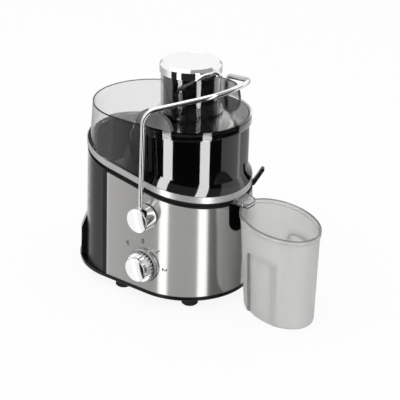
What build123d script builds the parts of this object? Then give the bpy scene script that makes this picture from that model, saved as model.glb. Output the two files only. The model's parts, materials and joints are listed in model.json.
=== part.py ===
from build123d import *
import math
import os

# Centrifugal juicer: steel-clad motor base, sloping juice bowl, clear lid with a wide feed chute,
# locking bail, pulp container at the rear and a juice cup under the spout.
# Millimetres, +Z up. Every piece is modelled about the axis that the filter basket spins on,
# +X towards the spout and cup, -X towards the pulp container, -Y towards the speed knob.
# The pieces are then moved together, so that the origin lies on the table under the middle of the whole.

# Plan of the body: a half circle about the spin axis, straight sides, a half circle at the rear
body_length = 75.0
base_radius = 100.4
draft = 1.8
slant = 9.9

# Heights, stacked from the table up, on the spin axis
foot_height = 12.5
plate_thickness = 6.5
body_height = 157.6
seal_height = 6.0
band_height = 9.4
bowl_height = 78.5
lid_seal_height = 3.5
lid_plate = 3.0
chute_height = 61.0

# Clearances
slide_gap = 0.3
seat_gap = 0.15
running_gap = 0.06
press_gap = 0.05

# Base plate, tray and feet
plate_overhang = 0.8
tray_length = 87.5
plate_round = 2.0
tray_lip = 3.0
tray_groove = 2.5
vent_count = 9
vent_length = 46.0
vent_width = 4.0
vent_pitch = 9.0
foot_radius = 12.5
foot_taper = 1.2
foot_bevel = 1.5
foot_nub_radius = 4.0
foot_inset = 19.0
front_foot_angle = 50.0
rear_foot_x = -60.0

# Screws that close the base
boss_radius = 5.0
boss_height = 18.0
boss_inset = 8.0
boss_sink = 1.0
front_screw_angle = 72.0
rear_screw_y = 40.0
screw_radius = 1.8
screw_head_radius = 3.4
screw_head_height = 2.4
screw_length = 20.0

# Steel panel and motor housing
panel_thickness = 1.0
panel_drop = 2.6
housing_wall = 3.0
deck_thickness = 4.0
seam_x = -80.0
seam_gap = 0.6
post_width = 6.5
slot_width = 50.0
slot_depth = 63.6
slot_corner = 20.0
pocket_depth = 28.0

# Motor, stacked from the base plate up
motor_rise = 27.0
bracket_thickness = 5.0
commutator_gap = 5.0
commutator_height = 12.0
winding_space = 6.0
stator_height = 32.0
fan_gap = 3.0
fan_height = 7.0
fan_clearance = 2.0
grommet_height = 3.0
shaft_radius = 4.0
shaft_tail = 4.0
bearing_radius = 9.0
bearing_height = 7.0
bearing_proud = 1.0
bracket_radius = 52.0
bracket_half_width = 13.0
bracket_margin = 6.0
commutator_radius = 11.0
brush_gap = 0.4
brush_length = 17.0
brush_width = 9.0
brush_height = 15.0
stator_radius = 38.0
stator_flat = 4.0
stator_flat_width = 18.0
rotor_radius = 23.0
rotor_air_gap = 0.7
rotor_slots = 12
rotor_slot_width = 2.4
rotor_slot_depth = 4.0
fan_radius = 30.0
fan_disc = 1.4
fan_blades = 9
fan_blade_thickness = 1.6
bolt_reach = 34.0
bolt_radius = 2.1
bolt_head_height = 3.0
post_reach = 33.0
post_radius = 4.5
grommet_radius = 7.0
motor_screw_radius = 1.7
motor_screw_grip = 8.0

# Juice bowl
band_inset = 0.1
band_thickness = 1.2
flange_width = 6.0
flange_top_plate = 3.0
flange_skirt = 6.0
bowl_wall = 2.6
bowl_floor = 3.0
flare_height = 26.0
flare_waist = 1.6
pulp_sill = 46.0
pulp_side_x = -42.0
drop_margin = 9.0
drop_ledge = 2.0
tower_wall = 3.0
tower_height = 10.4
tower_gap = 2.5
seal_width = 5.0
seal_inset = 1.5

# Spout and lifting tab
spout_width = 29.0
spout_depth = 11.0
spout_reach = 22.0
spout_wall = 2.0
spout_round = 5.0
spout_lip_round = 9.0
spout_tip_angle = 40.0
drain_length = 11.0
tab_angle = 33.0
tab_width = 9.0
tab_thickness = 5.4
tab_round = 2.4
tab_rise = 60.0
tab_length = 31.0
tab_root_reach = 3.0

# Drive coupling, filter basket and grater
coupling_radius = 9.0
coupling_rise = 1.4
coupling_flutes = 6
flute_radius = 2.2
shaft_grip = 4.0
basket_hub_gap = 1.5
basket_hub_height = 5.5
basket_hub_wall = 5.0
basket_height = 49.0
basket_gap = 2.9
basket_flare = 18.0
basket_wall = 1.2
basket_rim_width = 4.5
basket_rim_height = 3.0
basket_slots = 40
basket_slot_height = 30.0
basket_slot_width = 2.2
grater_margin = 1.8
grater_thickness = 1.4
grater_dome_radius = 13.0
grater_dome_height = 5.0
tooth_height = 3.0
tooth_length = 5.0
tooth_width = 2.4
tooth_sink = 0.2
tooth_arms = 8
teeth_per_arm = 5
tooth_edge_margin = 7.0
tooth_twist = 9.0

# Lid, hood and feed chute
lid_gap = 0.4
lid_wall = 2.1
lid_skirt = 13.0
hood_lean = 6.4
hood_inset = 0.1
hood_sink = 20.0
hood_front_x = -12.0
chute_x = 0.5
chute_radius = 43.5
chute_wall = 2.7
chute_gap = 5.6
collar_width = 4.5
collar_height = 4.0
crest_half_width = 29.0
crest_centre_x = 2.0
crest_height = 28.0
crest_wall = 5.5
crest_proud = 0.3

# Pusher
pusher_gap = 0.5
pusher_wall = 2.5
pusher_lift = 3.0
pusher_bevel = 2.0
head_height = 10.5
head_overhang = 1.8
head_wall = 3.0
head_plug_height = 8.0
head_plug_wall = 2.0
cap_height = 4.5
cap_bevel = 3.8
cap_shoulder = 0.6
cap_shoulder_inset = 0.3
cap_rim = 1.4
cap_dish = 0.8
cap_plate = 2.4
cap_plug_height = 4.0
cap_plug_wall = 2.0

# Locking bail
rod_radius = 3.75
pivot_x = -2.2
pivot_drop = 35.6
hub_radius = 18.4
hub_gap = 1.0
hub_length = 23.3
hub_edge = 2.0
hub_dome = 0.6
hub_face = 3.4
rod_inset = 14.3
rod_socket = 9.5
crest_x = -6.0
crest_rise = 24.8
crest_side_gap = 5.35
crest_stop_gap = 2.5
rod_clearance = 1.6
handle_x = 82.8
handle_half_width = 36.3
handle_rise = 54.1
leg_bend = 24.0
handle_bend = 50.0
pin_radius = 6.0
pin_flange_radius = 11.0
pin_flange_thickness = 3.4
pin_flange_gap = 0.7

# Speed knob and switches
knob_x = -6.0
knob_height = 40.6
knob_projection = 22.4
knob_cap_radius = 18.5
knob_cap_length = 10.0
knob_cap_round = 2.2
knob_dome = 0.7
knob_ring_radius = 21.1
knob_ring_length = 8.5
knob_teeth = 26
knob_tooth_radius = 1.6
bezel_gap = 0.5
bezel_wall = 3.4
bezel_proud = 4.0
bezel_floor = 1.0
bezel_round = 1.6
stem_radius = 4.0
stem_clearance = 1.0
stem_grip = 12.0
switch_width = 26.0
switch_depth = 20.0
switch_height = 24.0
interlock_width = 20.0
interlock_depth = 8.0
interlock_height = 14.0
interlock_offset = 26.0
switch_gap = 0.6

# Cord inlet
inlet_x = -45.0
inlet_height = 17.0
inlet_radius = 8.0
inlet_bore = 4.0
inlet_length = 10.0
inlet_collar_width = 2.5
inlet_collar = 3.0

# Pulp container and grip
container_wall = 2.4
container_gap = 0.6
container_headroom = 0.6
grip_angle = 46.0
grip_depth = 8.5
grip_height = 70.0
grip_slope_height = 22.0

# Juice cup
cup_y = 1.5
cup_yaw = -15.0
cup_nose_gap = 0.8
cup_spout_gap = 1.8
cup_rim_long = 68.0
cup_rim_short = 49.5
cup_foot_long = 61.0
cup_foot_short = 43.0
cup_foot_shift = 7.0
cup_trim = 4.8
cup_rim_slope = 3.7
cup_wall = 2.2
cup_floor = 2.6
cup_bead_height = 5.5
cup_bead = 1.5
cup_foot_round = 5.0
cup_foot_steps = 3
recess_shift = 8.0
recess_width = 53.0
recess_depth = 4.5
recess_top = 104.0
recess_round = 9.0

# Half size of the solids that stand for half spaces, and how far a cut or a joined piece runs past a face
reach = 400.0
past = 1.0


# Levels and widths worked out from the sizes above
def tangent(degrees):
    return math.tan(math.radians(degrees))


def wall_y(inset, height):
    """Half width of the tapered body at a height, set in from its outer face."""
    return base_radius - inset - (height - body_floor) * tangent(draft)


body_floor = foot_height + plate_thickness
housing_top = body_floor + body_height
band_bottom = housing_top + seal_height
band_top = band_bottom + band_height
bowl_rim = band_top + bowl_height
lid_under = bowl_rim + lid_seal_height
lid_top = lid_under + lid_plate
skirt_low = lid_top - lid_skirt
chute_top = lid_top + chute_height
plate_radius = base_radius + plate_overhang
panel_back = panel_thickness + seat_gap
housing_inner = panel_back + housing_wall
housing_rear = seam_x - post_width
slot_bottom = housing_top - slot_depth

bowl_radius = wall_y(0, housing_top) - band_inset - band_thickness - seat_gap
bowl_wall_radius = bowl_radius - flange_width
bowl_bore = bowl_wall_radius - bowl_wall
lid_radius = bowl_wall_radius + lid_gap + lid_wall
lid_length = body_length - hood_lean
crest_radius = lid_radius + crest_proud
chute_bore = chute_radius - chute_wall

lower_bracket_bottom = body_floor + motor_rise
lower_bracket_top = lower_bracket_bottom + bracket_thickness
commutator_bottom = lower_bracket_top + commutator_gap
stator_bottom = commutator_bottom + commutator_height + winding_space
fan_bottom = stator_bottom + stator_height + fan_gap
upper_bracket_bottom = fan_bottom + fan_height + fan_clearance
upper_bracket_top = upper_bracket_bottom + bracket_thickness
post_bottom = upper_bracket_top + grommet_height
shaft_bottom = lower_bracket_bottom - shaft_tail

tower_top = band_bottom + bowl_floor + tower_height
tower_bore = coupling_radius + tower_gap
coupling_bottom = band_bottom + coupling_rise
shaft_top = coupling_bottom + shaft_grip
hub_low = tower_top + basket_hub_gap
basket_bottom = hub_low + basket_hub_height
basket_top = basket_bottom + basket_height
basket_rim_radius = bowl_bore - basket_gap
basket_high_radius = basket_rim_radius - basket_rim_width
basket_low_radius = basket_high_radius - basket_flare
grater_bottom = basket_bottom + basket_wall
grater_top = grater_bottom + grater_thickness
grater_radius = basket_low_radius - basket_wall - grater_margin
chute_bottom = grater_top + tooth_height + chute_gap
pusher_bottom = chute_bottom + pusher_lift

spout_start = base_radius - pocket_depth + 2 * slide_gap
spout_tip = bowl_radius + spout_reach
spout_bottom = band_bottom - bowl_radius * tangent(slant) - spout_depth

pivot_z = housing_top - pivot_drop
hub_inner = wall_y(0, pivot_z - hub_radius) + hub_gap
hub_outer = hub_inner + hub_length
pin_outer = hub_outer - hub_face
leg_y = hub_inner + rod_inset
crest_y = crest_radius + crest_side_gap + rod_radius
crest_z = lid_top + crest_rise
handle_z = lid_top + handle_rise

knob_z = body_floor + knob_height
knob_wall = wall_y(0, knob_z)
knob_face = knob_wall + knob_projection
inlet_z = body_floor + inlet_height

cup_height = spout_bottom - cup_spout_gap - cup_rim_long * tangent(cup_rim_slope)
cup_blank_height = spout_bottom + cup_trim
cup_end = math.hypot(cup_rim_long * math.cos(math.radians(cup_yaw)),
                     cup_rim_short * math.sin(math.radians(cup_yaw)))
cup_x = wall_y(0, cup_height) + cup_nose_gap + cup_end

nodes = {}


# Shapes that several pieces share
def stadium(radius, length):
    """Plan outline: half circle about the spin axis, straight sides, half circle at the rear."""
    return Pos(-length / 2, 0) * SlotCenterToCenter(length, 2 * radius)


def prism(outline, low, high):
    return extrude(Pos(0, 0, low) * outline, high - low)


def drafted(inset, low, high):
    """The body's tapered form, set in from its outer face."""
    return extrude(Pos(0, 0, low) * stadium(wall_y(inset, low), body_length), high - low, taper=draft)


def sloped_plane(height, angle):
    """Plane that crosses the spin axis at a height and falls towards +X."""
    turn = math.radians(angle)
    return Plane(origin=(0, 0, height), x_dir=(math.cos(turn), 0, -math.sin(turn)),
                 z_dir=(math.sin(turn), 0, math.cos(turn)))


def above(height, angle=slant):
    return sloped_plane(height, angle) * Pos(0, 0, reach / 2) * Box(2 * reach, 2 * reach, reach)


def below(height, angle=slant):
    return sloped_plane(height, angle) * Pos(0, 0, -reach / 2) * Box(2 * reach, 2 * reach, reach)


def slab(low, high, angle=slant):
    """Space between two sloped planes."""
    thickness = (high - low) * math.cos(math.radians(angle))
    return sloped_plane(low, angle) * Pos(0, 0, thickness / 2) * Box(2 * reach, 2 * reach, thickness)


def ahead_of(x):
    return Pos(x + reach / 2, 0, 0) * Box(reach, 2 * reach, 4 * reach)


def behind(x):
    return Pos(x - reach / 2, 0, 0) * Box(reach, 2 * reach, 4 * reach)


def rod_y(radius, x, z, y_from, y_to):
    """Cylinder along Y between two Y values."""
    return Pos(x, (y_from + y_to) / 2, z) * Rot(90, 0, 0) * Cylinder(radius, abs(y_to - y_from))


def rod_z(radius, low, high, x=0.0, y=0.0):
    return Pos(x, y, (low + high) / 2) * Cylinder(radius, high - low)


def tube_z(outer, inner, low, high, x=0.0, y=0.0):
    return rod_z(outer, low, high, x, y) - rod_z(inner, low - past, high + past, x, y)


def turned(*points):
    """Solid of revolution about Z from a closed profile of (radius, height) points."""
    return revolve(Plane.XZ * make_face(Polyline(*points, close=True)), Axis.Z)


def headed_screw(radius, low, seat, tip):
    """Screw along Z with a head of twice its radius, from its head's end up to its tip."""
    return turned((0, low), (2 * radius, low), (2 * radius, seat), (radius, seat), (radius, tip), (0, tip))


def dome(x, z, end, side, radius, rise):
    """Ball that rounds the end of a cylinder along Y to a shallow dome."""
    ball = (radius ** 2 + rise ** 2) / (2 * rise)
    return Pos(x, side * (end - ball), z) * Sphere(ball)


def on_both_sides(places):
    """Each place and its mirror image across the XZ plane."""
    return [(x, side * y) for x, y in places for side in (-1, 1)]


def on_arc(radius, degrees):
    return (radius * math.cos(math.radians(degrees)), radius * math.sin(math.radians(degrees)))


# Base plate with the container's tray, its feet and its screws
def foot_places():
    reach_out = plate_radius - foot_inset
    return on_both_sides([on_arc(reach_out, front_foot_angle), (rear_foot_x, reach_out)])


def screw_places():
    rear_x = housing_rear + housing_wall + boss_radius - boss_sink
    front = on_arc(base_radius - boss_inset, front_screw_angle)
    return on_both_sides([front, (rear_x, rear_screw_y)])


def make_base():
    plate = prism(stadium(plate_radius, tray_length), foot_height, body_floor)
    plate = fillet(plate.edges().group_by(Axis.Z)[0], plate_round)
    groove_floor = body_floor - tray_groove
    groove = prism(stadium(plate_radius - tray_lip, tray_length), groove_floor, body_floor + past)
    groove -= prism(stadium(plate_radius, body_length), foot_height, body_floor + 2 * past)
    plate -= groove & behind(-body_length)
    for i in range(vent_count):
        x = (i - (vent_count - 1) / 2) * vent_pitch
        plate -= Pos(x, 0, foot_height) * Box(vent_width, vent_length, 4 * plate_thickness)
    for x, y in foot_places():
        plate -= rod_z(foot_nub_radius + seat_gap, 0, body_floor + past, x, y)
    head_seat = foot_height + screw_head_height
    for x, y in screw_places():
        plate -= rod_z(screw_radius + seat_gap, 0, body_floor + past, x, y)
        plate -= rod_z(screw_head_radius + seat_gap, 0, head_seat, x, y)
    nodes["base_plate"] = plate
    foot = turned((0, 0), (foot_radius - foot_bevel, 0), (foot_radius, foot_bevel),
                  (foot_radius - foot_taper, foot_height), (foot_nub_radius, foot_height),
                  (foot_nub_radius, body_floor), (0, body_floor))
    nodes["rubber_feet"] = Compound([Pos(x, y, 0) * foot for x, y in foot_places()])
    screw_tip = foot_height + screw_length
    screw = turned((0, foot_height), (screw_head_radius, foot_height), (screw_head_radius, head_seat),
                   (screw_radius, head_seat), (screw_radius, screw_tip), (0, screw_tip))
    nodes["base_screws"] = Compound([Pos(x, y, 0) * screw for x, y in screw_places()])


# Motor housing with its sloping deck and spout recess, and the steel panel wrapped round it
def spout_recess(grow):
    """U-shaped recess in the nose, grown by a wall on its sides, bottom and back."""
    width = slot_width + 2 * grow
    height = 2 * slot_depth + 2 * grow
    outline = RectangleRounded(width, height, slot_corner + grow)
    outline = Pos(0, slot_bottom - grow + height / 2) * outline
    back = base_radius - pocket_depth - grow
    return extrude(Plane.YZ.offset(back) * outline, 2 * pocket_depth)


def wall_holes(grow):
    holes = rod_y(pin_radius + seat_gap + grow, pivot_x, pivot_z, -reach / 2, reach / 2)
    holes += rod_y(stem_radius + stem_clearance + grow, knob_x, knob_z, -reach / 2, 0)
    holes += rod_y(inlet_radius + seat_gap + grow, inlet_x, inlet_z, 0, reach / 2)
    return holes


def motor_post_places():
    return on_both_sides([(post_reach, post_reach), (-post_reach, post_reach)])


def make_housing():
    top = band_top + reach / 4
    shell = drafted(panel_back, body_floor, top) & ahead_of(seam_x)
    shell += drafted(0, body_floor, top) & ahead_of(housing_rear) & behind(seam_x)
    shell -= above(housing_top)
    cavity = drafted(housing_inner, body_floor - past, top) & ahead_of(housing_rear + housing_wall)
    cavity -= above(housing_top - deck_thickness)
    cavity -= spout_recess(housing_wall)
    for x, y in screw_places():
        cavity -= rod_z(boss_radius, body_floor, body_floor + boss_height, x, y)
    for x, y in motor_post_places():
        cavity -= rod_z(post_radius, post_bottom, top, x, y)
    shell -= cavity
    shell -= spout_recess(0)
    shell -= wall_holes(0)
    shell -= rod_z(tower_bore, body_floor, top)
    for x, y in screw_places():
        shell -= rod_z(screw_radius + seat_gap, 0, foot_height + screw_length + past, x, y)
    for x, y in motor_post_places():
        shell -= rod_z(motor_screw_radius + seat_gap, 0, post_bottom + motor_screw_grip + past, x, y)
    nodes["motor_housing"] = shell
    panel = drafted(0, body_floor, top) - drafted(panel_thickness, body_floor - past, top + past)
    panel = panel & ahead_of(seam_x + seam_gap)
    panel -= above(housing_top - panel_drop)
    panel -= spout_recess(0)
    panel -= wall_holes(seat_gap)
    nodes["steel_panel"] = panel


# Universal motor, hung from posts under the deck on rubber grommets
def make_motor():
    bolts = [(0, side * bolt_reach) for side in (-1, 1)]
    bearing_bore = shaft_radius + running_gap
    bearing_outside = bearing_radius - press_gap
    middle = (lower_bracket_bottom + lower_bracket_top) / 2
    brush_end = commutator_radius + brush_gap + brush_length
    lower = Pos(0, 0, middle) * Box(2 * brush_end, 2 * bracket_half_width, bracket_thickness)
    arm_end = bolt_reach + bracket_margin
    lower += Pos(0, 0, middle) * Box(2 * bracket_half_width, 2 * arm_end, bracket_thickness)
    lower -= rod_z(bearing_radius, 0, lower_bracket_top + past)
    upper = rod_z(bracket_radius, upper_bracket_bottom, upper_bracket_top)
    upper -= rod_z(bearing_radius, 0, upper_bracket_top + past)
    for x, y in motor_post_places():
        upper -= rod_z(motor_screw_radius + seat_gap, 0, upper_bracket_top + past, x, y)
    stator_top = stator_bottom + stator_height
    stator = tube_z(stator_radius, rotor_radius + rotor_air_gap, stator_bottom, stator_top)
    for side in (-1, 1):
        flat = Pos(side * stator_radius, 0, (stator_bottom + stator_top) / 2)
        stator -= flat * Box(2 * stator_flat, stator_flat_width, 2 * stator_height)
    for x, y in bolts:
        hole = rod_z(bolt_radius + seat_gap, 0, upper_bracket_top + past, x, y)
        lower -= hole
        upper -= hole
        stator -= hole
    nodes["lower_motor_bracket"] = lower
    nodes["upper_motor_bracket"] = upper
    nodes["motor_stator"] = stator
    low = lower_bracket_bottom - bearing_proud
    nodes["lower_bearing"] = tube_z(bearing_outside, bearing_bore, low, low + bearing_height)
    low = upper_bracket_bottom - bearing_proud
    nodes["upper_bearing"] = tube_z(bearing_outside, bearing_bore, low, low + bearing_height)
    head = lower_bracket_bottom - bolt_head_height
    bolt = headed_screw(bolt_radius, head, lower_bracket_bottom, upper_bracket_top)
    nodes["motor_bolts"] = Compound([Pos(x, y, 0) * bolt for x, y in bolts])
    grommet = tube_z(grommet_radius, motor_screw_radius + seat_gap, upper_bracket_top, post_bottom)
    nodes["motor_grommets"] = Compound([Pos(x, y, 0) * grommet for x, y in motor_post_places()])
    head = upper_bracket_bottom - bolt_head_height
    tip = post_bottom + motor_screw_grip
    screw = headed_screw(motor_screw_radius, head, upper_bracket_bottom, tip)
    nodes["motor_screws"] = Compound([Pos(x, y, 0) * screw for x, y in motor_post_places()])
    brush_x = brush_end - brush_length / 2
    brush = Pos(0, 0, lower_bracket_top + brush_height / 2) * Box(brush_length, brush_width, brush_height)
    nodes["brush_holders"] = Compound([Pos(side * brush_x, 0, 0) * brush for side in (-1, 1)])


# Everything that spins: shaft, armature, fan, coupling, basket and grater
def make_armature():
    bore = shaft_radius + press_gap
    nodes["motor_shaft"] = rod_z(shaft_radius, shaft_bottom, shaft_top)
    stator_top = stator_bottom + stator_height
    core = tube_z(rotor_radius, bore, stator_bottom, stator_top)
    slot = Pos(rotor_radius, 0, (stator_bottom + stator_top) / 2)
    slot = slot * Box(2 * rotor_slot_depth, rotor_slot_width, 2 * stator_height)
    for i in range(rotor_slots):
        core -= Rot(0, 0, 360 * i / rotor_slots) * slot
    nodes["rotor_core"] = core
    commutator_top = commutator_bottom + commutator_height
    nodes["commutator"] = tube_z(commutator_radius, bore, commutator_bottom, commutator_top)
    fan = tube_z(commutator_radius, bore, fan_bottom, fan_bottom + fan_height)
    fan += tube_z(fan_radius, commutator_radius - past, fan_bottom, fan_bottom + fan_disc)
    blade_length = fan_radius - commutator_radius
    blade = Pos(fan_radius - past - blade_length / 2, 0, fan_bottom + fan_height / 2)
    blade = blade * Box(blade_length, fan_blade_thickness, fan_height)
    for i in range(fan_blades):
        fan += Rot(0, 0, 360 * i / fan_blades) * blade
    nodes["cooling_fan"] = fan
    coupling = rod_z(coupling_radius, coupling_bottom, basket_bottom)
    for x, y in [on_arc(coupling_radius, 360 * i / coupling_flutes) for i in range(coupling_flutes)]:
        coupling -= rod_z(flute_radius, coupling_bottom - past, basket_bottom + past, x, y)
    coupling -= rod_z(bore, coupling_bottom - past, shaft_top)
    nodes["drive_coupling"] = coupling


def make_basket():
    bore = coupling_radius + press_gap
    socket_radius = coupling_radius + basket_hub_wall
    rim_low = basket_top - basket_rim_height
    under_rim = basket_high_radius - basket_flare * basket_rim_height / basket_height
    basket = turned((bore, hub_low), (socket_radius, hub_low), (socket_radius, basket_bottom),
                    (basket_low_radius, basket_bottom), (under_rim, rim_low),
                    (basket_rim_radius, rim_low), (basket_rim_radius, basket_top),
                    (basket_high_radius - basket_wall, basket_top),
                    (basket_low_radius - basket_wall, grater_bottom), (bore, grater_bottom))
    slot = Pos((basket_low_radius + basket_high_radius) / 2, 0, (basket_bottom + rim_low) / 2)
    slot = slot * Box(2 * basket_flare, basket_slot_width, basket_slot_height)
    for i in range(basket_slots):
        basket -= Rot(0, 0, 360 * i / basket_slots) * slot
    nodes["filter_basket"] = basket


def make_grater():
    dome_top = grater_top + grater_dome_height
    disc = turned((0, grater_bottom), (grater_radius, grater_bottom), (grater_radius, grater_top),
                  (grater_dome_radius, grater_top), (grater_dome_radius / 2, dome_top), (0, dome_top))
    tip = (tooth_length, tooth_height + tooth_sink)
    wedge = make_face(Polyline((0, 0), (tooth_length, 0), tip, close=True))
    tooth = Rot(0, 0, 90) * extrude(Plane.XZ * wedge, tooth_width / 2, both=True)
    first = grater_dome_radius + tooth_edge_margin
    pitch = (grater_radius - tooth_edge_margin - first) / (teeth_per_arm - 1)
    teeth = []
    for arm in range(tooth_arms):
        for step in range(teeth_per_arm):
            turn = 360 * arm / tooth_arms + tooth_twist * step
            teeth.append(Rot(0, 0, turn) * Pos(first + pitch * step, 0, grater_top - tooth_sink) * tooth)
    nodes["grater_disc"] = disc + teeth


# Juice bowl: sloping flange over base and container, round tub, chrome band and seal
def flare_section(radius, height):
    return sloped_plane(height, slant) * Ellipse(radius / math.cos(math.radians(slant)), radius)


def tall(outline):
    """Outline drawn up past every sloped cut of the bowl."""
    return prism(outline, slot_bottom, lid_top)


def make_bowl():
    flange = tall(stadium(bowl_radius, body_length)) & slab(band_bottom, band_top)
    tub_side = bowl_wall_radius + flange_skirt
    hollow = tall(stadium(bowl_radius - flange_skirt, body_length))
    hollow = hollow & slab(band_bottom - past, band_top - flange_top_plate) & behind(0)
    hollow -= rod_z(tub_side, 0, lid_top)
    drop = tall(stadium(bowl_radius - drop_margin, body_length)) & behind(0)
    drop -= rod_z(tub_side + drop_ledge, 0, lid_top)
    bowl = flange - hollow - drop
    flare = loft([flare_section(bowl_radius, band_top),
                  flare_section(bowl_wall_radius + flare_waist, band_top + flare_height / 3),
                  flare_section(bowl_wall_radius, band_top + flare_height)])
    bowl += flare & ahead_of(hood_front_x + slide_gap)
    bowl += rod_z(bowl_wall_radius, band_bottom, bowl_rim) - below(band_bottom)
    bowl -= rod_z(bowl_bore, 0, lid_top) - below(band_bottom + bowl_floor)
    bowl += rod_z(tower_bore + tower_wall, band_bottom - reach / 8, tower_top) - below(band_bottom)
    bowl -= rod_z(tower_bore, 0, lid_top)
    bowl -= above(band_top + pulp_sill, 0) & behind(pulp_side_x)
    bowl -= drain_hole()
    nodes["juice_bowl"] = bowl
    band_inner = bowl_radius + seat_gap
    band = stadium(band_inner + band_thickness, body_length) - stadium(band_inner, body_length)
    nodes["bowl_band"] = tall(band) & slab(band_bottom, band_top)
    ring = stadium(bowl_radius - seal_inset, body_length)
    ring -= stadium(bowl_radius - seal_inset - seal_width, body_length)
    seal = tall(ring) & slab(housing_top, band_bottom)
    notch = Pos(spout_start + reach / 2, 0, band_bottom)
    seal -= notch * Box(reach, spout_width + 2 * slide_gap, reach / 2)
    nodes["bowl_seal"] = seal


def drain_hole():
    """Way down from the bowl's floor into the spout."""
    x = spout_start + spout_wall + drain_length / 2
    return Pos(x, 0, band_bottom) * Box(drain_length, spout_width - 2 * spout_wall, 2 * slot_depth)


def make_tab():
    root_x = bowl_radius + tab_root_reach
    root_start = bowl_radius - seal_inset + seat_gap
    tongue = Box(root_x - root_start, tab_width, 2 * slot_depth)
    tongue = Rot(0, 0, tab_angle) * Pos((root_start + root_x) / 2, 0, band_bottom) * tongue
    tongue = tongue & slab(housing_top + slide_gap, band_bottom)
    root_z = band_bottom - root_x * math.cos(math.radians(tab_angle)) * tangent(slant) - seal_height / 2
    arm = Box(tab_length, tab_width, tab_thickness)
    arm = fillet(arm.edges().filter_by(Axis.Y), tab_round)
    arm = Pos(root_x, 0, root_z) * Rot(0, -tab_rise, 0) * Pos(tab_length / 2 - tab_round, 0, 0) * arm
    tab = tongue + Rot(0, 0, tab_angle) * arm
    band_space = rod_z(bowl_radius + band_thickness + 2 * seat_gap, 0, reach) & above(band_bottom)
    body_space = drafted(-slide_gap, body_floor, band_bottom) & below(housing_top + slide_gap)
    nodes["bowl_lifting_tab"] = tab - band_space - body_space


# Clear spout under the bowl's nose
def make_spout():
    length = spout_tip - spout_start
    outer = Pos(spout_start + length / 2, 0, spout_bottom + slot_depth / 2)
    outer = outer * Box(length, spout_width, slot_depth)
    outer = fillet(outer.edges().filter_by(Axis.X).group_by(Axis.Z)[0], spout_round)
    plan = Pos(spout_start, 0) * RectangleRounded(2 * length, spout_width, spout_lip_round)
    outer = outer & prism(plan, 0, lid_top)
    inner_length = 2 * length
    inner = Pos(spout_start + spout_wall + inner_length / 2, 0, spout_bottom + spout_wall + slot_depth / 2)
    inner = inner * Box(inner_length, spout_width - 2 * spout_wall, slot_depth)
    inner = fillet(inner.edges().filter_by(Axis.X).group_by(Axis.Z)[0], spout_round - spout_wall)
    inner -= above(band_bottom - spout_wall)
    tip = Pos(spout_tip, 0, spout_bottom) * Rot(0, spout_tip_angle, 0) * Pos(reach / 4, 0, 0)
    tip = tip * Box(reach / 2, 2 * spout_width, reach / 2)
    nodes["spout"] = outer - above(band_bottom) - inner - drain_hole() - tip


# Lid with its rear hood, feed chute and the two crests that the bail closes over
def hood_form(inset):
    foot_radius_here = bowl_radius - hood_inset - inset
    foot = Pos(0, 0, band_top - hood_sink) * stadium(foot_radius_here, body_length)
    top = Pos(0, 0, lid_top) * stadium(lid_radius - inset, lid_length)
    return loft([foot, top], ruled=True)


def bail_groove():
    """Space that the bail's rod sweeps over the crests, from its rest forwards."""
    share = (crest_y - crest_radius) / (crest_y - handle_half_width)
    rod_x = crest_x + share * (handle_x - crest_x)
    rod_z_here = crest_z + share * (handle_z - crest_z)
    radius = math.hypot(rod_x - pivot_x, rod_z_here - pivot_z) - rod_radius - rod_clearance
    swept = rod_y(reach, pivot_x, pivot_z, -reach, reach) - rod_y(radius, pivot_x, pivot_z, -reach, reach)
    return swept & ahead_of(crest_x - crest_stop_gap)


def crest_form():
    arch = Ellipse(crest_half_width, crest_height)
    arch -= Pos(0, -crest_height) * Rectangle(2 * crest_half_width, 2 * crest_height)
    arch += Pos(0, -lid_skirt / 2) * Rectangle(2 * crest_half_width, lid_skirt)
    arch = Plane.XZ.offset(-reach / 2) * Pos(crest_centre_x, lid_top) * arch
    wall = stadium(crest_radius, lid_length) - stadium(crest_radius - crest_wall, lid_length)
    return (extrude(arch, reach) & prism(wall, 0, reach)) - bail_groove()


def make_lid():
    shell = hood_form(0) - below(band_top)
    shell -= below(skirt_low, 0) & ahead_of(hood_front_x)
    lid = shell + crest_form()
    lid -= hood_form(lid_wall) - above(lid_under, 0)
    lid += rod_z(chute_radius + collar_width, lid_under, lid_top + collar_height, chute_x)
    lid += rod_z(chute_radius, chute_bottom, chute_top, chute_x)
    lid -= rod_z(chute_bore, 0, chute_top + past, chute_x)
    nodes["lid"] = lid
    ring = tube_z(bowl_wall_radius, bowl_bore, bowl_rim, lid_under)
    nodes["lid_seal"] = ring & ahead_of(pulp_side_x)


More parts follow.
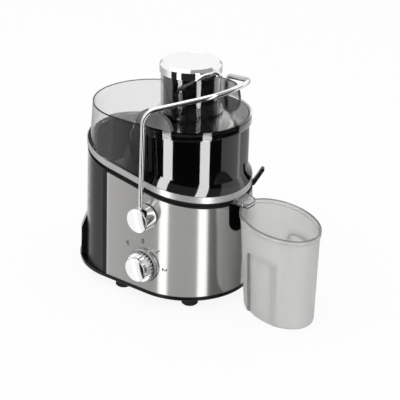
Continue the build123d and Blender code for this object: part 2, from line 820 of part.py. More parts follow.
# Food pusher: its body in the chute, the head that stops it on the chute's rim, and the cap on the head
def make_pusher():
    radius = chute_bore - pusher_gap
    inner = radius - pusher_wall
    seat = chute_top + slide_gap
    floor = pusher_bottom + pusher_wall
    bevel_top = pusher_bottom + pusher_bevel
    body = turned((0, pusher_bottom), (radius - pusher_bevel, pusher_bottom), (radius, bevel_top),
                  (radius, seat), (inner, seat), (inner, floor), (0, floor))
    nodes["pusher_body"] = Pos(chute_x, 0, 0) * body
    outside = chute_radius + head_overhang
    bore = outside - head_wall
    head_top = seat + head_height
    plug = inner - press_gap
    sleeve = plug - head_plug_wall
    plug_low = seat - head_plug_height
    head = turned((sleeve, plug_low), (plug, plug_low), (plug, seat), (outside, seat), (outside, head_top),
                  (bore, head_top), (bore, seat + head_wall), (sleeve, seat + head_wall))
    nodes["pusher_head"] = Pos(chute_x, 0, 0) * head
    top = head_top + cap_height
    dish = top - cap_dish
    under = dish - cap_plate
    ring = bore - press_gap
    ring_low = head_top - cap_plug_height
    edge = outside - cap_bevel
    cap = turned((ring - cap_plug_wall, ring_low), (ring, ring_low), (ring, head_top), (outside, head_top),
                 (outside - cap_shoulder_inset, head_top + cap_shoulder), (edge, top), (edge - cap_rim, dish),
                 (0, dish), (0, under), (ring - cap_plug_wall, under))
    nodes["pusher_cap"] = Pos(chute_x, 0, 0) * cap


# Locking bail: one bent rod, its two hubs and the pins that they turn on
def make_bail():
    pivot = Vector(pivot_x, leg_y, pivot_z)
    crest = Vector(crest_x, crest_y, crest_z)
    along = (crest - pivot).normalized()
    foot = pivot + along * rod_socket
    half = [(foot.X, foot.Y, foot.Z), (crest_x, crest_y, crest_z)]
    half.append((handle_x, handle_half_width, handle_z))
    mirrored = [(x, -y, z) for x, y, z in half]
    path = FilletPolyline(*mirrored, *half[::-1], radius=[leg_bend, handle_bend, handle_bend, leg_bend])
    section = Plane(origin=path @ 0, z_dir=path % 0) * Circle(rod_radius)
    nodes["bail_rod"] = sweep(section, path)
    for name, side, outer_rim in (("front", -1, 0), ("rear", 1, -1)):
        hub = rod_y(hub_radius, pivot_x, pivot_z, side * hub_inner, side * hub_outer)
        hub = fillet(hub.edges().group_by(Axis.Y)[outer_rim], hub_edge)
        hub = hub & dome(pivot_x, pivot_z, hub_outer, side, hub_radius, hub_dome)
        hub -= rod_y(pin_radius + running_gap, pivot_x, pivot_z, 0, side * (pin_outer + slide_gap))
        socket = Plane(origin=(pivot_x, side * leg_y, pivot_z), z_dir=(along.X, side * along.Y, along.Z))
        hub -= socket * Pos(0, 0, rod_socket + hub_radius) * Cylinder(rod_radius + seat_gap, 2 * hub_radius)
        nodes[name + "_bail_hub"] = hub
        flange = wall_y(housing_inner, pivot_z) - pin_flange_gap
        flange_back = flange - pin_flange_thickness
        pin = rod_y(pin_radius, pivot_x, pivot_z, side * flange_back, side * pin_outer)
        pin += rod_y(pin_flange_radius, pivot_x, pivot_z, side * flange_back, side * flange)
        nodes[name + "_pivot_pin"] = pin


# Speed knob, its bezel, and the switches and cord inlet in the housing's wall
def make_controls():
    cap_low = knob_face - knob_cap_length
    ring_low = cap_low - knob_ring_length
    knob = rod_y(knob_ring_radius, knob_x, knob_z, -ring_low, -cap_low)
    for x, z in [on_arc(knob_ring_radius, 360 * i / knob_teeth) for i in range(knob_teeth)]:
        knob += rod_y(knob_tooth_radius, knob_x + x, knob_z + z, -ring_low, -cap_low)
    cap = rod_y(knob_cap_radius, knob_x, knob_z, -cap_low, -knob_face)
    cap = fillet(cap.edges().group_by(Axis.Y)[0], knob_cap_round)
    knob += cap & dome(knob_x, knob_z, knob_face, -1, knob_cap_radius, knob_dome)
    switch_front = wall_y(housing_inner, knob_z + switch_height / 2) - switch_gap
    stem_end = switch_front - stem_grip
    knob += rod_y(stem_radius, knob_x, knob_z, -stem_end, -ring_low)
    nodes["speed_knob"] = knob
    bezel_bore = knob_ring_radius + knob_tooth_radius + bezel_gap
    bezel_back = wall_y(housing_inner, knob_z)
    bezel = rod_y(bezel_bore + bezel_wall, knob_x, knob_z, -bezel_back, -(knob_wall + bezel_proud))
    bezel = fillet(bezel.edges().group_by(Axis.Y)[0], bezel_round)
    bezel -= rod_y(bezel_bore, knob_x, knob_z, -(knob_wall + bezel_floor), -reach)
    bezel -= rod_y(stem_radius + stem_clearance, knob_x, knob_z, 0, -reach)
    nodes["knob_bezel"] = bezel - drafted(-seat_gap, body_floor, housing_top)
    switch = Pos(knob_x, switch_depth / 2 - switch_front, knob_z)
    switch = switch * Box(switch_width, switch_depth, switch_height)
    switch -= rod_y(stem_radius + running_gap, knob_x, knob_z, slide_gap - stem_end, -reach)
    nodes["speed_switch"] = switch
    front = wall_y(housing_inner, pivot_z + interlock_height / 2) - slide_gap
    interlock = Pos(pivot_x - interlock_offset, interlock_depth / 2 - front, pivot_z)
    nodes["interlock_switch"] = interlock * Box(interlock_width, interlock_depth, interlock_height)
    outside = wall_y(0, inlet_z)
    inlet = rod_y(inlet_radius, inlet_x, inlet_z, outside - inlet_length, outside + inlet_collar)
    collar = rod_y(inlet_radius + inlet_collar_width, inlet_x, inlet_z, 0, outside + inlet_collar)
    inlet += collar - drafted(-seat_gap, body_floor, housing_top)
    nodes["cord_inlet"] = inlet - rod_y(inlet_bore, inlet_x, inlet_z, 0, reach)


# Pulp container that slides out at the rear, and its grip
def make_container():
    top = band_top + reach / 4
    low = body_floor + slide_gap
    front = housing_rear - container_gap
    shell = drafted(0, low, top) & behind(front)
    shell -= above(housing_top - container_headroom)
    inside = drafted(container_wall, low + container_wall, top) & behind(front - container_wall)
    nodes["pulp_container"] = shell - inside
    rear_centre = Pos(-body_length, 0, 0)
    grip_top = low + grip_height
    slope_low = grip_top - grip_slope_height
    outer = wall_y(-grip_depth, low)
    shoulder = wall_y(-grip_depth, slope_low)
    grip = turned((0, low), (outer, low), (shoulder, slope_low), (wall_y(0, grip_top), grip_top),
                  (0, grip_top))
    side = 2 * base_radius * tangent(grip_angle)
    wedge = make_face(Polyline((0, 0), (-2 * base_radius, side), (-2 * base_radius, -side), close=True))
    grip = rear_centre * (grip & prism(wedge, 0, reach))
    nodes["container_grip"] = grip - drafted(-seat_gap, body_floor, top)


# Juice cup, turned a little as it stands under the spout
def cup_section(inset, height):
    share = height / cup_blank_height
    long = cup_foot_long + (cup_rim_long - cup_foot_long) * share
    short = cup_foot_short + (cup_rim_short - cup_foot_short) * share
    return Pos(cup_foot_shift * (1 - share), 0, height) * Ellipse(long - inset, short - inset)


def cup_form(inset, low):
    return loft([cup_section(inset, low), cup_section(inset, cup_blank_height)], ruled=True)


def grip_recesses(grow):
    """Finger recesses in the long sides, from the foot up, with floors that follow the wall."""
    block = Box(recess_width + 2 * grow, 4 * cup_rim_short, 2 * (recess_top + grow))
    block = fillet(block.edges().filter_by(Axis.Y), recess_round)
    return Pos(recess_shift, 0, 0) * block - cup_form(recess_depth + grow, 0)


def make_cup():
    foot = []
    for i in range(cup_foot_steps + 1):
        turn = math.radians(90 * i / cup_foot_steps)
        foot.append(cup_section(cup_foot_round * (1 - math.sin(turn)), cup_foot_round * (1 - math.cos(turn))))
    outer = loft(foot + [cup_section(0, cup_blank_height)], ruled=True)
    outer -= grip_recesses(0)
    inner = cup_form(cup_wall, cup_floor) - grip_recesses(cup_wall)
    bead = cup_form(-cup_bead, recess_top) & slab(cup_height - cup_bead_height, cup_height, cup_rim_slope)
    cup = outer - above(cup_height, cup_rim_slope)
    cup = cup + bead - inner
    nodes["juice_cup"] = Pos(cup_x, cup_y, 0) * Rot(0, 0, cup_yaw) * cup


make_base()
make_housing()
make_motor()
make_armature()
make_basket()
make_grater()
make_bowl()
make_tab()
make_spout()
make_lid()
make_pusher()
make_bail()
make_controls()
make_container()
make_cup()

# Origin on the table, midway between the tray's rear and the cup's far side
rear_end = nodes["base_plate"].bounding_box().min.X
front_end = nodes["juice_cup"].bounding_box().max.X
spin_axis_x = -(rear_end + front_end) / 2
print("spin axis at X", round(spin_axis_x, 3))

os.makedirs("parts", exist_ok=True)
for name, shape in nodes.items():
    export_step(Pos(spin_axis_x, 0, 0) * shape, f"parts/{name}.step")
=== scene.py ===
import json
import math
import bpy
from mathutils import Matrix, Quaternion, Vector


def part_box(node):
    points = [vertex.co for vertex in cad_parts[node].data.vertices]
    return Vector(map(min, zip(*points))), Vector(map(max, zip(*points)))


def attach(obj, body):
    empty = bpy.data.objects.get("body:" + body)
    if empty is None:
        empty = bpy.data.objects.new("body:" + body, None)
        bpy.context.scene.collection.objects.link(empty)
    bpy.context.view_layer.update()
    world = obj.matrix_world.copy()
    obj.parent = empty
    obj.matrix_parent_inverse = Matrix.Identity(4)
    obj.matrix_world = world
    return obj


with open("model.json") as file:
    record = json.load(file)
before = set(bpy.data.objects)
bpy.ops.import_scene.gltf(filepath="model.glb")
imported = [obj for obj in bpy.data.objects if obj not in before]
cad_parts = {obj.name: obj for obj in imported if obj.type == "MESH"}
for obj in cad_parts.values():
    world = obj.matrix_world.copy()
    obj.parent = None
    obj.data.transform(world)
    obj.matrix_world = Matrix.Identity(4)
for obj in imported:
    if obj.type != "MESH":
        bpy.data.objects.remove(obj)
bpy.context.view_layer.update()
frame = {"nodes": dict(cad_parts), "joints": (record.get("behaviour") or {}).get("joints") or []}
nodes = frame["nodes"]
joints = {joint["name"]: joint for joint in frame["joints"]}
scene = bpy.context.scene

# Places from the frame: the axis that the filter basket spins on, and the foot of the base wall
spin_x = joints["spindle_spin"]["pos_m"][0]
wall_radius = -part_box("steel_panel")[0].y
wall_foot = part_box("steel_panel")[0].z

# Lean of the base wall, as modelled
wall_draft = math.tan(math.radians(1.8))

# Camera, fitted to the photograph: angles in degrees, and the point that it faces about the spin axis
camera_azimuth = 36.459
camera_elevation = 25.607
camera_roll = 1.208
camera_distance = 1.7938
camera_aim_x = 0.0216
camera_aim_z = 0.1375
camera_lens = 107.35
sensor_width = 36.0

# Room: a white background, an even fill, and a bright and a dark side that only reflections show
white = (1, 1, 1, 1)
white_level = 1.0
fill_level = 0.85
dark_azimuth = 51.5
dark_level = 0.02
upper_level = 0.35
rear_level = 0.5

# Edges in the room, as cosines of the angle from the middle of its dark side, or from straight up
dark_edge = 0.02
bright_edge = -0.04
rear_start = -0.1
rear_end = -0.6
upper_edge = 0.15

# Floor: its width, its grey, and how much plain white the camera sees on it
floor_size = 12.0
floor_grey = 0.9
floor_glow = 0.9

# Lamps: their power in watts to a square metre at level 1, and the one that lights the object from above
lamp_power = 4.0
top_place = (-0.4, -0.5, 1.9)
top_aim_z = 0.2
top_size = 1.6
top_level = 0.9

# Upright screens that only reflections show: two strips for each group of pieces, and cards for some
screen_distance = 1.7
screen_height = 4.2
screen_z = 0.35
strip_width = 0.48
gloss_strip_width = 0.54
gloss_strip_azimuths = (-3.0, 66.5)
gloss_strip_level = 13.0
steel_strip_azimuths = (-5.5, 62.0)
steel_strip_level = 1.6
soft_strip_azimuths = (-6.5, 62.0)
soft_strip_level = 1.3
other_strip_azimuths = (-4.5, 69.0)
other_strip_level = 5.5
gloss_card_azimuth = 125.0
gloss_card_width = 1.6
gloss_card_level = 0.8
steel_card_azimuth = 18.0
steel_card_width = 4.7
steel_card_level = 0.4
satin_card_azimuth = -115.0
satin_card_width = 1.0
satin_card_level = 1.3
face_card_azimuth = -34.8
face_card_width = 0.19
face_card_level = 0.72
left_card_azimuth = 32.0
left_card_width = 1.3
left_card_level = 0.3

# Noise: the range of its values that is used, and its detail, cells to a metre and depth on each surface
noise_low = 0.3
noise_high = 0.7
noise_detail = 3.0
gloss_cells = 60.0
satin_cells = 90.0
satin_grain_cells = 1400.0
satin_grain_depth = 0.00002
metal_cells = 60.0
metal_detail = 4.0
chrome_cells = 80.0
clear_cells = 70.0
matte_cells = 200.0
matte_grain_cells = 900.0
matte_grain_depth = 0.00004

# Moulded plastics: how blue their black is
satin_blue = 1.05

# Grain of the metals, as a stretch of the noise along X, Y and Z
brushed_grain = (0.6, 0.6, 30)
turned_grain = (2, 2, 12)
cast_grain = (8, 8, 8)
laminated_grain = (0.5, 0.5, 40)

# Bowl: full specular ahead of the lid's hood, and under it a lower specular that dims its reflections as
# painted shade
bowl_black = (0.001, 0.001, 0.0011)
bowl_smooth = 0.03
bowl_rough = 0.07
bowl_specular = 0.5
bowl_painted_shade_specular = 0.1
hood_front = spin_x + 0.006
hood_edge = 0.003

# Lid, with a frosted crest on each side above its top, darkened there as painted shade
lid_tint = 0.885
lid_ior = 1.42
lid_smooth = 0.0
lid_rough = 0.02
lid_top = 0.277
crest_edge = 0.002
crest_aside = 0.06
crest_painted_shade = 0.33
crest_frost = 0.3

# Cup: its turn and rim slope as modelled, and its colour by the share of the rim's depth, with painted shade
# along the rim's cut and under its bead
cup_yaw = math.radians(-15.0)
cup_rim_slope = math.tan(math.radians(3.7))
cup_clearness = 0.6
cup_ior = 1.2
cup_specular = 0.1
cup_tint = (1.0, 1.0, 0.985)
# Its dark stops are painted shade: under the rim's bead and along its cut
cup_tone_and_painted_shade = ((0.46, 0.745), (0.50, 0.45), (0.54, 0.45), (0.57, 0.78), (0.93, 0.78), (0.96, 0.28))
rim_depth = 0.012
rim_start = 0.5
rim_end = 0.6
cup_rough = 0.5
rim_rough = 0.2
# Reach and samples of the painted shade that darkens the cup's creases
crease_shade_reach = 0.012
crease_shade_samples = 8

# Marks printed round the speed knob, with letters that fill a share of the font's size
mark_height = 0.0075
mark_share = 0.7
mark_proud = 0.0002
mark_bold = 0.0001
mark_black = 0.04

# Letter of each mark, its place along X from the spin axis, its height, and its turn in degrees
marks = (
    ("P", -0.037, 0.085, 46),
    ("0", -0.009, 0.097, 0),
    ("1", 0.018, 0.088, -46),
    ("2", 0.029, 0.061, -90),
)

# Pieces by the look that they wear
worn = {
    "gloss": ("juice_bowl", "bowl_lifting_tab"),
    "pusher": ("pusher_body",),
    "satin": ("base_plate", "container_grip", "cooling_fan", "drive_coupling", "speed_switch",
              "interlock_switch"),
    "housing": ("motor_housing",),
    "container": ("pulp_container",),
    "steel": ("steel_panel", "filter_basket", "grater_disc"),
    "nickel": ("knob_bezel",),
    "band": ("bowl_band",),
    "turned": ("base_screws", "lower_bearing", "upper_bearing", "motor_bolts", "motor_screws", "motor_shaft",
               "front_pivot_pin", "rear_pivot_pin"),
    "cast": ("lower_motor_bracket", "upper_motor_bracket"),
    "iron": ("motor_stator", "rotor_core"),
    "brass": ("brush_holders", "commutator"),
    "chrome": ("pusher_cap", "pusher_head", "bail_rod", "front_bail_hub", "rear_bail_hub", "speed_knob"),
    "rubber": ("rubber_feet", "motor_grommets", "bowl_seal", "lid_seal", "cord_inlet"),
    "lid": ("lid",),
    "spout": ("spout",),
    "frosted": ("juice_cup",),
}

# Pieces that share lamps, apart from those that wear one look
steel_pieces = ("steel_panel",)
face_pieces = ("front_bail_hub", "rear_bail_hub", "speed_knob")
satin_pieces = worn["satin"] + worn["housing"] + worn["container"]
soft_pieces = satin_pieces + worn["chrome"] + worn["nickel"]


# Camera
def aim(azimuth, elevation=0.0):
    """Unit vector towards a place round the object: azimuth 0 is towards -Y and 90 towards +X."""
    a = math.radians(azimuth)
    e = math.radians(elevation)
    return Vector((math.sin(a) * math.cos(e), -math.cos(a) * math.cos(e), math.sin(e)))


def make_camera():
    data = bpy.data.cameras.new("camera")
    data.lens = camera_lens
    data.sensor_width = sensor_width
    camera = bpy.data.objects.new("camera", data)
    back = aim(camera_azimuth, camera_elevation)
    place = Vector((spin_x + camera_aim_x, 0, camera_aim_z)) + back * camera_distance
    turn = back.to_track_quat("Z", "Y") @ Quaternion((0, 0, 1), math.radians(camera_roll))
    camera.matrix_world = Matrix.LocRotScale(place, turn, None)
    scene.collection.objects.link(camera)
    scene.camera = camera


# Steps that node trees are made of, most of which give the socket that holds their result
def add_node(tree, kind, **sets):
    made = tree.nodes.new(kind)
    for name, value in sets.items():
        setattr(made, name, value)
    return made


def feed(tree, socket, value):
    """Links a socket to another one, or sets it to a plain value."""
    if isinstance(value, bpy.types.NodeSocket):
        tree.links.new(value, socket)
    else:
        socket.default_value = value


def calculate(tree, operation, *values):
    made = add_node(tree, "ShaderNodeMath", operation=operation)
    for socket, value in zip(made.inputs, values):
        feed(tree, socket, value)
    return made.outputs["Value"]


def along(tree, place, direction):
    """How far a place lies in a direction."""
    made = add_node(tree, "ShaderNodeVectorMath", operation="DOT_PRODUCT")
    feed(tree, made.inputs[0], place)
    feed(tree, made.inputs[1], direction)
    return made.outputs["Value"]


def between(tree, value, start, end, low=0.0, high=1.0, ease="LINEAR"):
    """Goes from low to high while a value goes from start to end."""
    made = add_node(tree, "ShaderNodeMapRange", interpolation_type=ease)
    feed(tree, made.inputs["Value"], value)
    made.inputs["From Min"].default_value = start
    made.inputs["From Max"].default_value = end
    made.inputs["To Min"].default_value = low
    made.inputs["To Max"].default_value = high
    return made.outputs["Result"]


def mix(tree, share, first, second, kind="FLOAT"):
    """Goes from the first value to the second as the share goes from 0 to 1."""
    made = add_node(tree, "ShaderNodeMix", data_type=kind)
    feed(tree, made.inputs["Factor"], share)
    feed(tree, made.inputs["A"], first)
    feed(tree, made.inputs["B"], second)
    return made.outputs["Result"]


def ramp(tree, value, stops, tint=(1, 1, 1)):
    """Colour that follows a value through (place, level) stops of one tint."""
    made = add_node(tree, "ShaderNodeValToRGB")
    feed(tree, made.inputs["Fac"], value)
    places = made.color_ramp.elements
    for i, (at, level) in enumerate(stops):
        stop = places[i] if i < 2 else places.new(at)
        stop.position = at
        stop.color = (*[level * share for share in tint], 1)
    return made.outputs["Color"]


def object_place(tree):
    return add_node(tree, "ShaderNodeTexCoord").outputs["Object"]


def noise(tree, cells, stretch=(1, 1, 1), detail=noise_detail):
    mapping = add_node(tree, "ShaderNodeMapping")
    feed(tree, mapping.inputs["Vector"], object_place(tree))
    mapping.inputs["Scale"].default_value = stretch
    made = add_node(tree, "ShaderNodeTexNoise")
    feed(tree, made.inputs["Vector"], mapping.outputs["Vector"])
    made.inputs["Scale"].default_value = cells
    made.inputs["Detail"].default_value = detail
    return made.outputs["Fac"]


def spread(tree, grain, low, high):
    """A noise spread between two levels."""
    return between(tree, grain, noise_low, noise_high, low, high)


def bump(tree, grain, depth):
    made = add_node(tree, "ShaderNodeBump")
    feed(tree, made.inputs["Height"], grain)
    made.inputs["Distance"].default_value = depth
    return made.outputs["Normal"]


# Studio
def make_world():
    """White to the camera and through clear pieces, the fill for diffuse light, the room in reflections."""
    world = bpy.data.worlds.new("studio")
    scene.world = world
    world.use_nodes = True
    world.cycles.sampling_method = "NONE"
    tree = world.node_tree
    tree.nodes.clear()
    ray = add_node(tree, "ShaderNodeLightPath").outputs
    place = add_node(tree, "ShaderNodeTexCoord").outputs["Generated"]
    ahead = along(tree, place, aim(dark_azimuth))
    side = between(tree, ahead, bright_edge, dark_edge, white_level, dark_level, "SMOOTHSTEP")
    rear = between(tree, ahead, rear_end, rear_start, rear_level, white_level)
    lower = calculate(tree, "MULTIPLY", side, rear)
    upper = calculate(tree, "MAXIMUM", side, upper_level)
    room = mix(tree, between(tree, along(tree, place, (0, 0, 1)), 0.0, upper_edge), lower, upper)
    mirrored = calculate(tree, "MINIMUM", ray["Glossy Depth"], 1)
    shiny = calculate(tree, "MAXIMUM", ray["Is Glossy Ray"], ray["Is Transmission Ray"])
    light = mix(tree, shiny, fill_level, mix(tree, mirrored, white_level, room))
    sky = add_node(tree, "ShaderNodeBackground")
    sky.inputs["Color"].default_value = white
    feed(tree, sky.inputs["Strength"], mix(tree, ray["Is Camera Ray"], light, white_level))
    out = add_node(tree, "ShaderNodeOutputWorld")
    feed(tree, out.inputs["Surface"], sky.outputs["Background"])


def floor_paper():
    """Pale paper that the camera sees nearly white, with a part of the shadow on it."""
    material = bpy.data.materials.new("floor_white")
    material.use_nodes = True
    tree = material.node_tree
    tree.nodes.clear()
    paper = add_node(tree, "ShaderNodeBsdfDiffuse")
    paper.inputs["Color"].default_value = (floor_grey, floor_grey, floor_grey, 1)
    glow = add_node(tree, "ShaderNodeEmission")
    glow.inputs["Color"].default_value = white
    ray = add_node(tree, "ShaderNodeLightPath").outputs
    both = add_node(tree, "ShaderNodeMixShader")
    feed(tree, both.inputs["Fac"], calculate(tree, "MULTIPLY", ray["Is Camera Ray"], floor_glow))
    feed(tree, both.inputs[1], paper.outputs["BSDF"])
    feed(tree, both.inputs[2], glow.outputs["Emission"])
    out = add_node(tree, "ShaderNodeOutputMaterial")
    feed(tree, out.inputs["Surface"], both.outputs["Shader"])
    return material


def make_floor():
    mesh = bpy.data.meshes.new("floor")
    h = floor_size / 2
    mesh.from_pydata([(-h, -h, 0), (h, -h, 0), (h, h, 0), (-h, h, 0)], [], [(0, 1, 2, 3)])
    mesh.materials.append(floor_paper())
    floor = bpy.data.objects.new("floor", mesh)
    scene.collection.objects.link(floor)
    floor.visible_glossy = False
    floor.visible_transmission = False
    floor.visible_shadow = False


def make_lamp(name, place, target, width, height, level):
    """A flat lamp that the camera doesn't see."""
    data = bpy.data.lights.new(name, "AREA")
    data.shape = "RECTANGLE"
    data.size = width
    data.size_y = height
    data.energy = lamp_power * width * height * level
    lamp = bpy.data.objects.new(name, data)
    lamp.location = place
    lamp.rotation_mode = "QUATERNION"
    lamp.rotation_quaternion = (Vector(target) - Vector(place)).to_track_quat("-Z", "Y")
    lamp.visible_camera = False
    scene.collection.objects.link(lamp)
    return lamp


def lit_pieces(name, pieces, state="INCLUDE"):
    """A group of pieces that a lamp lights alone, or with the state EXCLUDE leaves out."""
    lit = bpy.data.collections.new(name + "_pieces")
    for piece in pieces:
        lit.objects.link(nodes[piece])
    for member in lit.collection_objects:
        member.light_linking.link_state = state
    return lit


def make_screen(name, azimuth, width, level, lit):
    """An upright lamp round the object, seen only in the reflections of a group of pieces."""
    middle = Vector((spin_x, 0, screen_z))
    place = middle + aim(azimuth) * screen_distance
    screen = make_lamp(name, place, middle, width, screen_height, level)
    screen.visible_diffuse = False
    screen.light_linking.receiver_collection = lit


def make_strips(name, azimuths, width, level, lit):
    for i, azimuth in enumerate(azimuths):
        make_screen(f"{name}_strip_{i}", azimuth, width, level, lit)


def make_card(name, azimuth, width, level, pieces):
    make_screen(name, azimuth, width, level, lit_pieces(name, pieces))


def make_lamps():
    gloss = lit_pieces("gloss", worn["gloss"])
    steel = lit_pieces("steel", steel_pieces)
    soft = lit_pieces("soft", soft_pieces)
    other = lit_pieces("other", worn["gloss"] + steel_pieces + soft_pieces, "EXCLUDE")
    make_strips("gloss", gloss_strip_azimuths, gloss_strip_width, gloss_strip_level, gloss)
    make_strips("steel", steel_strip_azimuths, strip_width, steel_strip_level, steel)
    make_strips("soft", soft_strip_azimuths, strip_width, soft_strip_level, soft)
    make_strips("other", other_strip_azimuths, strip_width, other_strip_level, other)
    make_card("steel_card", steel_card_azimuth, steel_card_width, steel_card_level, steel_pieces)
    make_card("gloss_card", gloss_card_azimuth, gloss_card_width, gloss_card_level, worn["gloss"])
    make_card("satin_card", satin_card_azimuth, satin_card_width, satin_card_level, satin_pieces)
    make_card("face_card", face_card_azimuth, face_card_width, face_card_level, face_pieces)
    make_card("left_card", left_card_azimuth, left_card_width, left_card_level, face_pieces)
    make_lamp("top", top_place, (spin_x, 0, top_aim_z), top_size, top_size, top_level)


# Materials
def surface(name, metallic=0.0, specular=0.5):
    material = bpy.data.materials.new(name)
    material.use_nodes = True
    sockets = material.node_tree.nodes["Principled BSDF"].inputs
    sockets["Metallic"].default_value = metallic
    sockets["Specular IOR Level"].default_value = specular
    return material, material.node_tree, sockets


def gloss_black():
    """Black plastic with full specular where it is seen, and under the lid's hood a lower specular that dims
    its reflections as painted shade.
    """
    material, tree, sockets = surface("gloss_black")
    sockets["Base Color"].default_value = (*bowl_black, 1)
    feed(tree, sockets["Roughness"], spread(tree, noise(tree, gloss_cells), bowl_smooth, bowl_rough))
    ahead = along(tree, object_place(tree), (1, 0, 0))
    # Painted shade: the specular level drops behind the hood's front, dimming the bowl's reflections there
    shine = between(tree, ahead, hood_front - hood_edge, hood_front, bowl_painted_shade_specular, bowl_specular)
    feed(tree, sockets["Specular IOR Level"], shine)
    return material


def satin_black(name, level, smooth, rough, specular=0.5):
    """Moulded black plastic with a fine grain, a touch blue."""
    material, tree, sockets = surface(name, specular=specular)
    sockets["Base Color"].default_value = (level, level, level * satin_blue, 1)
    feed(tree, sockets["Roughness"], spread(tree, noise(tree, satin_cells), smooth, rough))
    feed(tree, sockets["Normal"], bump(tree, noise(tree, satin_grain_cells), satin_grain_depth))
    return material


def brushed(name, colour, smooth, rough, stretch, metallic=1.0, shade=0.97):
    """Metal with a fine grain, in which the dark lines are a shade darker and rougher."""
    material, tree, sockets = surface(name, metallic=metallic)
    grain = noise(tree, metal_cells, stretch, metal_detail)
    feed(tree, sockets["Roughness"], spread(tree, grain, smooth, rough))
    feed(tree, sockets["Base Color"], ramp(tree, grain, ((noise_low, 1.0), (noise_high, shade)), colour))
    return material


def chrome(colour, smooth, rough):
    material, tree, sockets = surface("chrome", metallic=1.0)
    sockets["Base Color"].default_value = (*colour, 1)
    feed(tree, sockets["Roughness"], spread(tree, noise(tree, chrome_cells), smooth, rough))
    return material


def spout_clear(colour, smooth, rough, clearness, ior):
    material, tree, sockets = surface("spout_clear")
    sockets["Base Color"].default_value = (*colour, 1)
    sockets["Transmission Weight"].default_value = clearness
    sockets["IOR"].default_value = ior
    feed(tree, sockets["Roughness"], spread(tree, noise(tree, clear_cells), smooth, rough))
    return material


def lid_clear():
    """Clear plastic, frosted on the two crests beside the chute and darkened there as painted shade."""
    material, tree, sockets = surface("lid_clear")
    sockets["Transmission Weight"].default_value = 1.0
    sockets["IOR"].default_value = lid_ior
    place = object_place(tree)
    aside = calculate(tree, "ABSOLUTE", along(tree, place, (0, 1, 0)))
    above = between(tree, along(tree, place, (0, 0, 1)), lid_top, lid_top + crest_edge)
    crest = calculate(tree, "MULTIPLY", calculate(tree, "GREATER_THAN", aside, crest_aside), above)
    shine = spread(tree, noise(tree, clear_cells), lid_smooth, lid_rough)
    feed(tree, sockets["Roughness"], mix(tree, crest, shine, crest_frost))
    # Darker colour on the crests: painted shade
    feed(tree, sockets["Base Color"], ramp(tree, crest, ((0.0, lid_tint), (1.0, crest_painted_shade))))
    return material


def frosted_cup():
    """Frosted plastic, polished along the cut of the sloping rim and under its bead, with painted shade
    there and in its creases.
    """
    material, tree, sockets = surface("cup_frosted", specular=cup_specular)
    sockets["Transmission Weight"].default_value = cup_clearness
    sockets["IOR"].default_value = cup_ior
    upward = Vector((cup_rim_slope * math.cos(cup_yaw), cup_rim_slope * math.sin(cup_yaw), 1))
    rim = max(v.co.dot(upward) for v in nodes["juice_cup"].data.vertices)
    height = between(tree, along(tree, object_place(tree), upward), rim - rim_depth, rim)
    # The dark bands of this ramp are painted shade along the rim's cut and under its bead
    tone_and_shade = ramp(tree, height, cup_tone_and_painted_shade, cup_tint)
    # Ambient occlusion darkens the cup's colour in its creases and recess: painted shade, on front faces
    # only
    crease_shade = add_node(tree, "ShaderNodeAmbientOcclusion", only_local=True, samples=crease_shade_samples)
    crease_shade.inputs["Distance"].default_value = crease_shade_reach
    feed(tree, crease_shade.inputs["Color"], tone_and_shade)
    inside = add_node(tree, "ShaderNodeNewGeometry").outputs["Backfacing"]
    feed(tree, sockets["Base Color"], mix(tree, inside, crease_shade.outputs["Color"], tone_and_shade, "RGBA"))
    feed(tree, sockets["Roughness"], between(tree, height, rim_start, rim_end, cup_rough, rim_rough))
    return material


def matte(name, level, smooth=0.6, rough=0.8, specular=0.2):
    """Rubber or ink with a fine grain."""
    material, tree, sockets = surface(name, specular=specular)
    sockets["Base Color"].default_value = (level, level, level, 1)
    feed(tree, sockets["Roughness"], spread(tree, noise(tree, matte_cells), smooth, rough))
    feed(tree, sockets["Normal"], bump(tree, noise(tree, matte_grain_cells), matte_grain_depth))
    return material


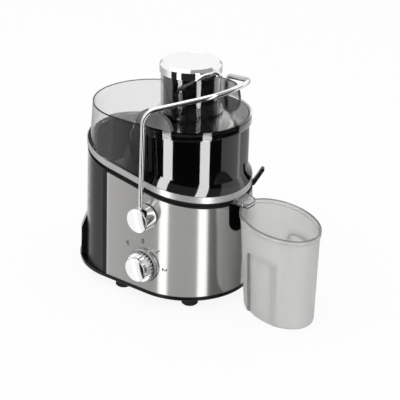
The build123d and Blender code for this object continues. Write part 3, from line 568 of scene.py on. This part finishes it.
def make_looks():
    return {
        "gloss": gloss_black(),
        "pusher": satin_black("pusher_plastic", level=0.006, smooth=0.08, rough=0.14),
        "satin": satin_black("satin_black", level=0.006, smooth=0.28, rough=0.4, specular=0.25),
        "housing": satin_black("housing_plastic", level=0.008, smooth=0.35, rough=0.5, specular=0.3),
        "container": satin_black("container_plastic", level=0.012, smooth=0.3, rough=0.4),
        "steel": brushed("brushed_steel", colour=(0.50, 0.495, 0.48), smooth=0.15, rough=0.17,
                         stretch=brushed_grain, metallic=0.75, shade=0.985),
        "nickel": brushed("satin_nickel", colour=(0.45, 0.45, 0.45), smooth=0.15, rough=0.25,
                          stretch=turned_grain),
        "band": brushed("band_silver", colour=(0.50, 0.50, 0.50), smooth=0.25, rough=0.35,
                        stretch=brushed_grain, metallic=0.35),
        "turned": brushed("turned_steel", colour=(0.6, 0.59, 0.58), smooth=0.25, rough=0.4,
                          stretch=turned_grain, shade=0.85),
        "cast": brushed("cast_aluminium", colour=(0.7, 0.7, 0.72), smooth=0.4, rough=0.55,
                        stretch=cast_grain, shade=0.85),
        "iron": brushed("laminated_iron", colour=(0.25, 0.25, 0.26), smooth=0.4, rough=0.6,
                        stretch=laminated_grain, shade=0.6),
        "brass": brushed("brass", colour=(0.72, 0.5, 0.25), smooth=0.25, rough=0.4,
                         stretch=turned_grain, shade=0.85),
        "chrome": chrome(colour=(0.92, 0.92, 0.93), smooth=0.03, rough=0.07),
        "rubber": matte("rubber", level=0.004),
        "lid": lid_clear(),
        "spout": spout_clear(colour=(0.99, 0.99, 0.985), smooth=0.03, rough=0.07, clearness=0.95, ior=1.49),
        "frosted": frosted_cup(),
    }


def dress():
    looks = make_looks()
    for look, pieces in worn.items():
        for piece in pieces:
            nodes[piece].data.materials.clear()
            nodes[piece].data.materials.append(looks[look])


# Marks round the speed knob
def wall_place(x, z):
    """A place on the front of the base wall, which is flat behind the spin axis and round ahead of it."""
    radius = wall_radius - (z - wall_foot) * wall_draft + mark_proud
    return Vector((spin_x + x, -math.sqrt(radius ** 2 - max(x, 0) ** 2), z))


def letter_mesh(letter):
    text = bpy.data.curves.new("text", "FONT")
    text.body = letter
    text.size = mark_height / mark_share
    text.offset = mark_bold
    text.align_x = "CENTER"
    text.align_y = "CENTER"
    typed = bpy.data.objects.new("typed", text)
    mesh = bpy.data.meshes.new_from_object(typed)
    bpy.data.objects.remove(typed)
    bpy.data.curves.remove(text)
    return mesh


def make_marks():
    """Letters printed round the speed knob, laid on the base wall."""
    ink = matte("dial_ink", level=mark_black)
    for letter, x, z, turn in marks:
        mesh = letter_mesh(letter)
        lean = Matrix.Rotation(math.radians(turn), 2)
        for v in mesh.vertices:
            across, up = lean @ v.co.xy
            v.co = wall_place(x + across, z + up)
        mesh.materials.clear()
        mesh.materials.append(ink)
        mark = bpy.data.objects.new(f"dial_mark_{letter}", mesh)
        scene.collection.objects.link(mark)
        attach(mark, "base")


scene.view_settings.view_transform = "Standard"
make_camera()
make_world()
make_floor()
make_lamps()
dress()
make_marks()
